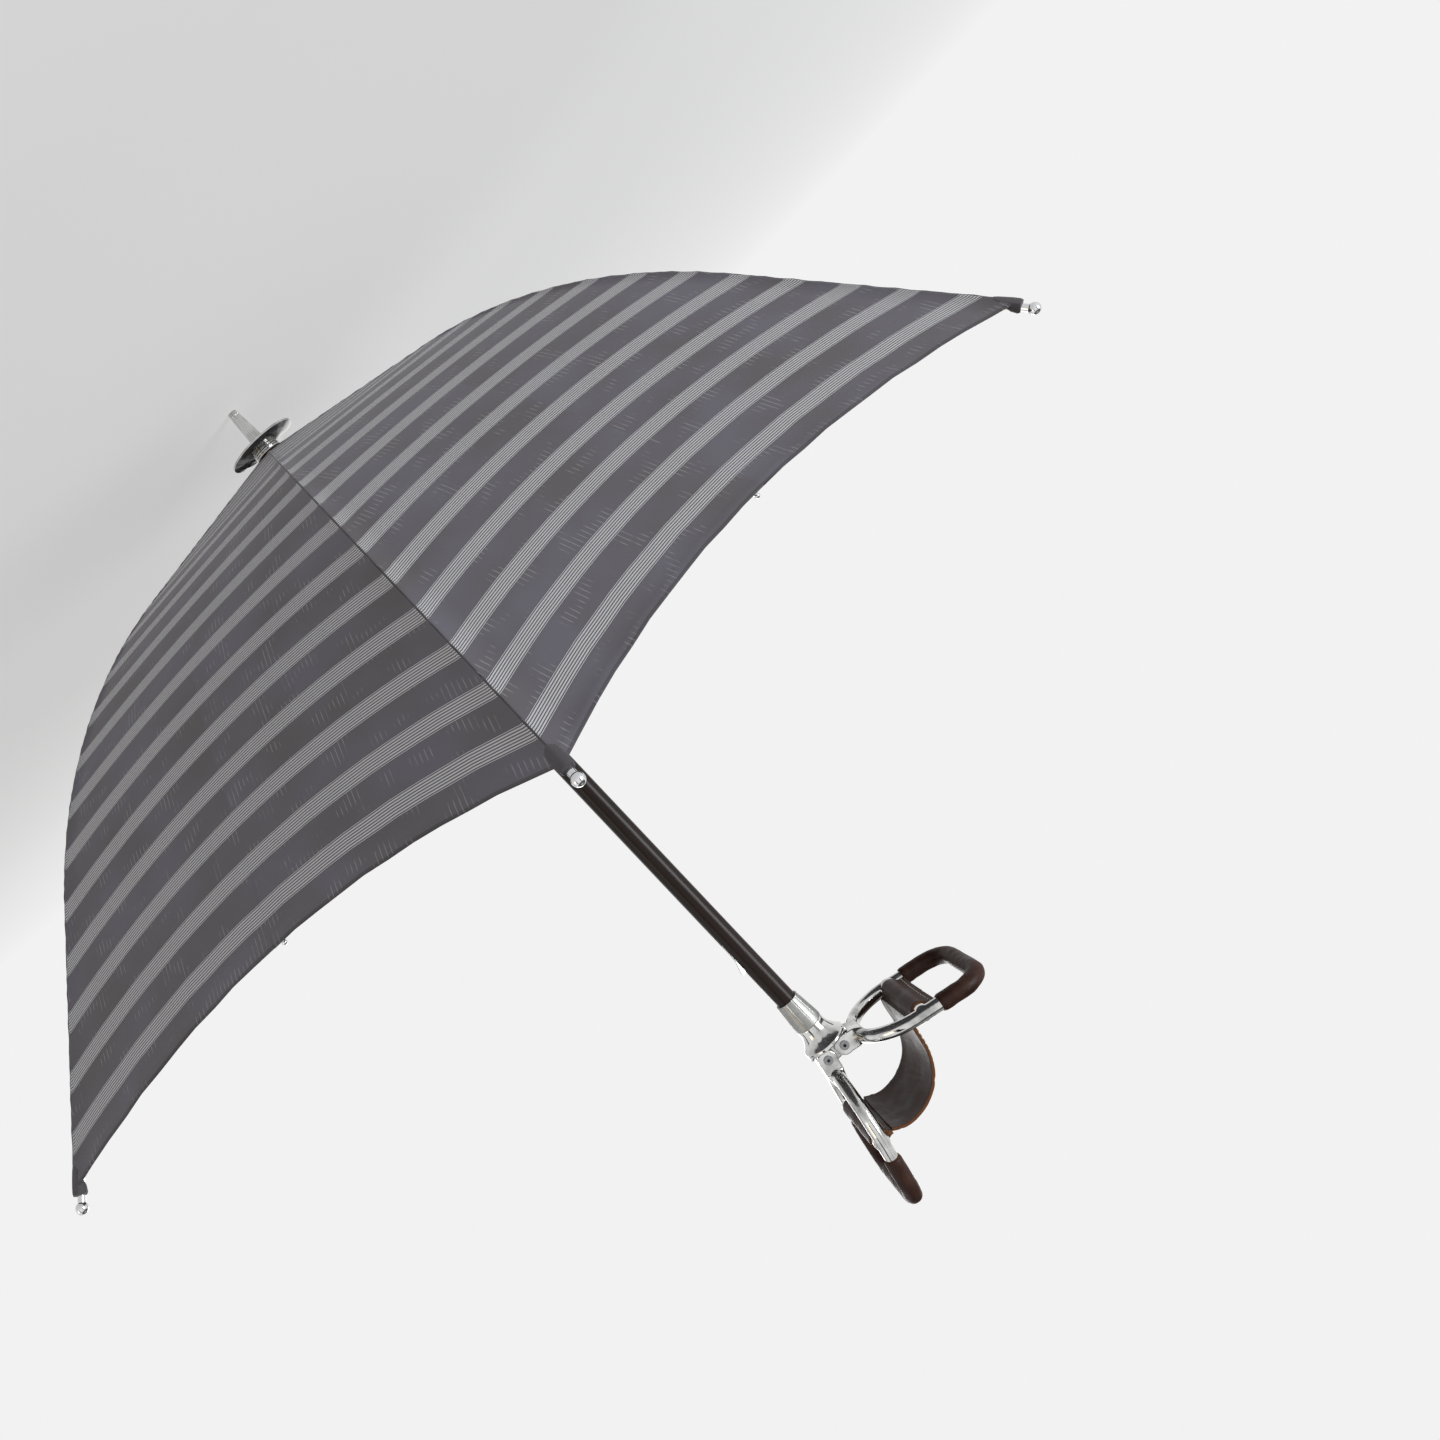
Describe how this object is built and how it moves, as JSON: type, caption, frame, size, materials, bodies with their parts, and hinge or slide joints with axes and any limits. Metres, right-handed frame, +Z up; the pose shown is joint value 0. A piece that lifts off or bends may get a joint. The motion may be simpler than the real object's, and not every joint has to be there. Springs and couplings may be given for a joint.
{
  "type": "walking stick seat",
  "caption": "Walking stick with a spike and ground disc, an umbrella canopy round its shaft, and a folding seat of two looped arms with a leather sling.",
  "frame": {"origin": "centre of the spike's flat end, on the shaft's axis", "axes": "+Z up the shaft to the seat, X the way the two seat arms open, Y along their pivot rivets"},
  "size_m": [1.059, 1.059, 0.8778],
  "materials": {
    "polished_alloy": "polished",
    "dark_leather": "waxed",
    "brown_shaft": "satin",
    "plated_steel": "bright zinc plate",
    "cast_collar": "matt, as cast",
    "cast_handle": "polished",
    "rivet_steel": "turned",
    "canopy_cloth": "woven",
    "chrome_tip": "polished"
  },
  "bodies": {
    "stick": {"spike": "polished_alloy", "ground_disc": "polished_alloy", "disc_collar": "polished_alloy", "apex_washer": "dark_leather", "shaft": "brown_shaft", "notch_ring": "plated_steel", "notch_wire": "plated_steel", "runner_stop_pin": "plated_steel", "hub_socket": "cast_collar", "socket_pin": "plated_steel", "hub": "cast_handle", "front_rivet": "rivet_steel", "rear_rivet": "rivet_steel", "sling": "dark_leather", "canopy": "canopy_cloth"},
    "runner": {"runner": "plated_steel", "runner_wire": "plated_steel"},
    "top_spring": {"top_spring": "plated_steel"},
    "hand_spring": {"hand_spring": "plated_steel"},
    "front_arm": {"front_arm": "cast_handle", "front_grip": "dark_leather", "front_sleeve": "dark_leather"},
    "rear_arm": {"rear_arm": "cast_handle", "rear_grip": "dark_leather", "rear_sleeve": "dark_leather"},
    "rib_1": {"rib_1": "plated_steel", "rib_tip_1": "chrome_tip"},
    "stretcher_1": {"stretcher_1": "plated_steel", "joint_rivet_1": "plated_steel"},
    "rib_2": {"rib_2": "plated_steel", "rib_tip_2": "chrome_tip"},
    "stretcher_2": {"stretcher_2": "plated_steel", "joint_rivet_2": "plated_steel"},
    "rib_3": {"rib_3": "plated_steel", "rib_tip_3": "chrome_tip"},
    "stretcher_3": {"stretcher_3": "plated_steel", "joint_rivet_3": "plated_steel"},
    "rib_4": {"rib_4": "plated_steel", "rib_tip_4": "chrome_tip"},
    "stretcher_4": {"stretcher_4": "plated_steel", "joint_rivet_4": "plated_steel"},
    "rib_5": {"rib_5": "plated_steel", "rib_tip_5": "chrome_tip"},
    "stretcher_5": {"stretcher_5": "plated_steel", "joint_rivet_5": "plated_steel"},
    "rib_6": {"rib_6": "plated_steel", "rib_tip_6": "chrome_tip"},
    "stretcher_6": {"stretcher_6": "plated_steel", "joint_rivet_6": "plated_steel"},
    "rib_7": {"rib_7": "plated_steel", "rib_tip_7": "chrome_tip"},
    "stretcher_7": {"stretcher_7": "plated_steel", "joint_rivet_7": "plated_steel"},
    "rib_8": {"rib_8": "plated_steel", "rib_tip_8": "chrome_tip"},
    "stretcher_8": {"stretcher_8": "plated_steel", "joint_rivet_8": "plated_steel"}
  },
  "joints": [
    {"name": "runner_slide", "type": "slide", "parent": "stick", "child": "runner", "axis": [0, 0, 1], "range_m": [0, 0.37133], "deforming": ["canopy"]},
    {"name": "front_arm_hinge", "type": "hinge", "parent": "stick", "child": "front_arm", "pos_m": [-0.0094, 0, 0.749], "axis": [0, -1, 0], "range_deg": [-77, 0], "deforming": ["sling"]},
    {"name": "rear_arm_hinge", "type": "hinge", "parent": "stick", "child": "rear_arm", "pos_m": [0.0094, 0, 0.749], "axis": [0, 1, 0], "range_deg": [-9, 68], "deforming": ["sling"]},
    {"name": "top_spring_press", "type": "slide", "parent": "stick", "child": "top_spring", "axis": [-0.9239, 0.3827, 0], "range_m": [0, 0.0036], "stiffness_N_per_m": 900, "springref_m": -0.001},
    {"name": "hand_spring_press", "type": "slide", "parent": "stick", "child": "hand_spring", "axis": [-0.9239, 0.3827, 0], "range_m": [0, 0.0036], "stiffness_N_per_m": 900, "springref_m": -0.001},
    {"name": "rib_1_hinge", "type": "hinge", "parent": "stick", "child": "rib_1", "pos_m": [0.0155, 0, 0.05394], "axis": [0, -1, 0], "range_deg": [0, 56]},
    {"name": "stretcher_1_hinge", "type": "hinge", "parent": "rib_1", "child": "stretcher_1", "pos_m": [0.28645, 0, 0.14233], "axis": [0, -1, 0], "range_deg": [-112, 0]},
    {"name": "rib_2_hinge", "type": "hinge", "parent": "stick", "child": "rib_2", "pos_m": [0.01096, 0.01096, 0.05394], "axis": [0.7071, -0.7071, 0], "range_deg": [0, 56]},
    {"name": "stretcher_2_hinge", "type": "hinge", "parent": "rib_2", "child": "stretcher_2", "pos_m": [0.20255, 0.20255, 0.14233], "axis": [0.7071, -0.7071, 0], "range_deg": [-112, 0]},
    {"name": "rib_3_hinge", "type": "hinge", "parent": "stick", "child": "rib_3", "pos_m": [0, 0.0155, 0.05394], "axis": [1, 0, 0], "range_deg": [0, 56]},
    {"name": "stretcher_3_hinge", "type": "hinge", "parent": "rib_3", "child": "stretcher_3", "pos_m": [0, 0.28645, 0.14233], "axis": [1, 0, 0], "range_deg": [-112, 0]},
    {"name": "rib_4_hinge", "type": "hinge", "parent": "stick", "child": "rib_4", "pos_m": [-0.01096, 0.01096, 0.05394], "axis": [0.7071, 0.7071, 0], "range_deg": [0, 56]},
    {"name": "stretcher_4_hinge", "type": "hinge", "parent": "rib_4", "child": "stretcher_4", "pos_m": [-0.20255, 0.20255, 0.14233], "axis": [0.7071, 0.7071, 0], "range_deg": [-112, 0]},
    {"name": "rib_5_hinge", "type": "hinge", "parent": "stick", "child": "rib_5", "pos_m": [-0.0155, 0, 0.05394], "axis": [0, 1, 0], "range_deg": [0, 56]},
    {"name": "stretcher_5_hinge", "type": "hinge", "parent": "rib_5", "child": "stretcher_5", "pos_m": [-0.28645, 0, 0.14233], "axis": [0, 1, 0], "range_deg": [-112, 0]},
    {"name": "rib_6_hinge", "type": "hinge", "parent": "stick", "child": "rib_6", "pos_m": [-0.01096, -0.01096, 0.05394], "axis": [-0.7071, 0.7071, 0], "range_deg": [0, 56]},
    {"name": "stretcher_6_hinge", "type": "hinge", "parent": "rib_6", "child": "stretcher_6", "pos_m": [-0.20255, -0.20255, 0.14233], "axis": [-0.7071, 0.7071, 0], "range_deg": [-112, 0]},
    {"name": "rib_7_hinge", "type": "hinge", "parent": "stick", "child": "rib_7", "pos_m": [0, -0.0155, 0.05394], "axis": [-1, 0, 0], "range_deg": [0, 56]},
    {"name": "stretcher_7_hinge", "type": "hinge", "parent": "rib_7", "child": "stretcher_7", "pos_m": [0, -0.28645, 0.14233], "axis": [-1, 0, 0], "range_deg": [-112, 0]},
    {"name": "rib_8_hinge", "type": "hinge", "parent": "stick", "child": "rib_8", "pos_m": [0.01096, -0.01096, 0.05394], "axis": [-0.7071, -0.7071, 0], "range_deg": [0, 56]},
    {"name": "stretcher_8_hinge", "type": "hinge", "parent": "rib_8", "child": "stretcher_8", "pos_m": [0.20255, -0.20255, 0.14233], "axis": [-0.7071, -0.7071, 0], "range_deg": [-112, 0]}
  ],
  "couplings": [
    {"joint": "rib_1_hinge", "follows": "runner_slide", "rad_per_m": 2.6321},
    {"joint": "stretcher_1_hinge", "follows": "runner_slide", "rad_per_m": -5.2642},
    {"joint": "rib_2_hinge", "follows": "runner_slide", "rad_per_m": 2.6321},
    {"joint": "stretcher_2_hinge", "follows": "runner_slide", "rad_per_m": -5.2642},
    {"joint": "rib_3_hinge", "follows": "runner_slide", "rad_per_m": 2.6321},
    {"joint": "stretcher_3_hinge", "follows": "runner_slide", "rad_per_m": -5.2642},
    {"joint": "rib_4_hinge", "follows": "runner_slide", "rad_per_m": 2.6321},
    {"joint": "stretcher_4_hinge", "follows": "runner_slide", "rad_per_m": -5.2642},
    {"joint": "rib_5_hinge", "follows": "runner_slide", "rad_per_m": 2.6321},
    {"joint": "stretcher_5_hinge", "follows": "runner_slide", "rad_per_m": -5.2642},
    {"joint": "rib_6_hinge", "follows": "runner_slide", "rad_per_m": 2.6321},
    {"joint": "stretcher_6_hinge", "follows": "runner_slide", "rad_per_m": -5.2642},
    {"joint": "rib_7_hinge", "follows": "runner_slide", "rad_per_m": 2.6321},
    {"joint": "stretcher_7_hinge", "follows": "runner_slide", "rad_per_m": -5.2642},
    {"joint": "rib_8_hinge", "follows": "runner_slide", "rad_per_m": 2.6321},
    {"joint": "stretcher_8_hinge", "follows": "runner_slide", "rad_per_m": -5.2642}
  ]
}
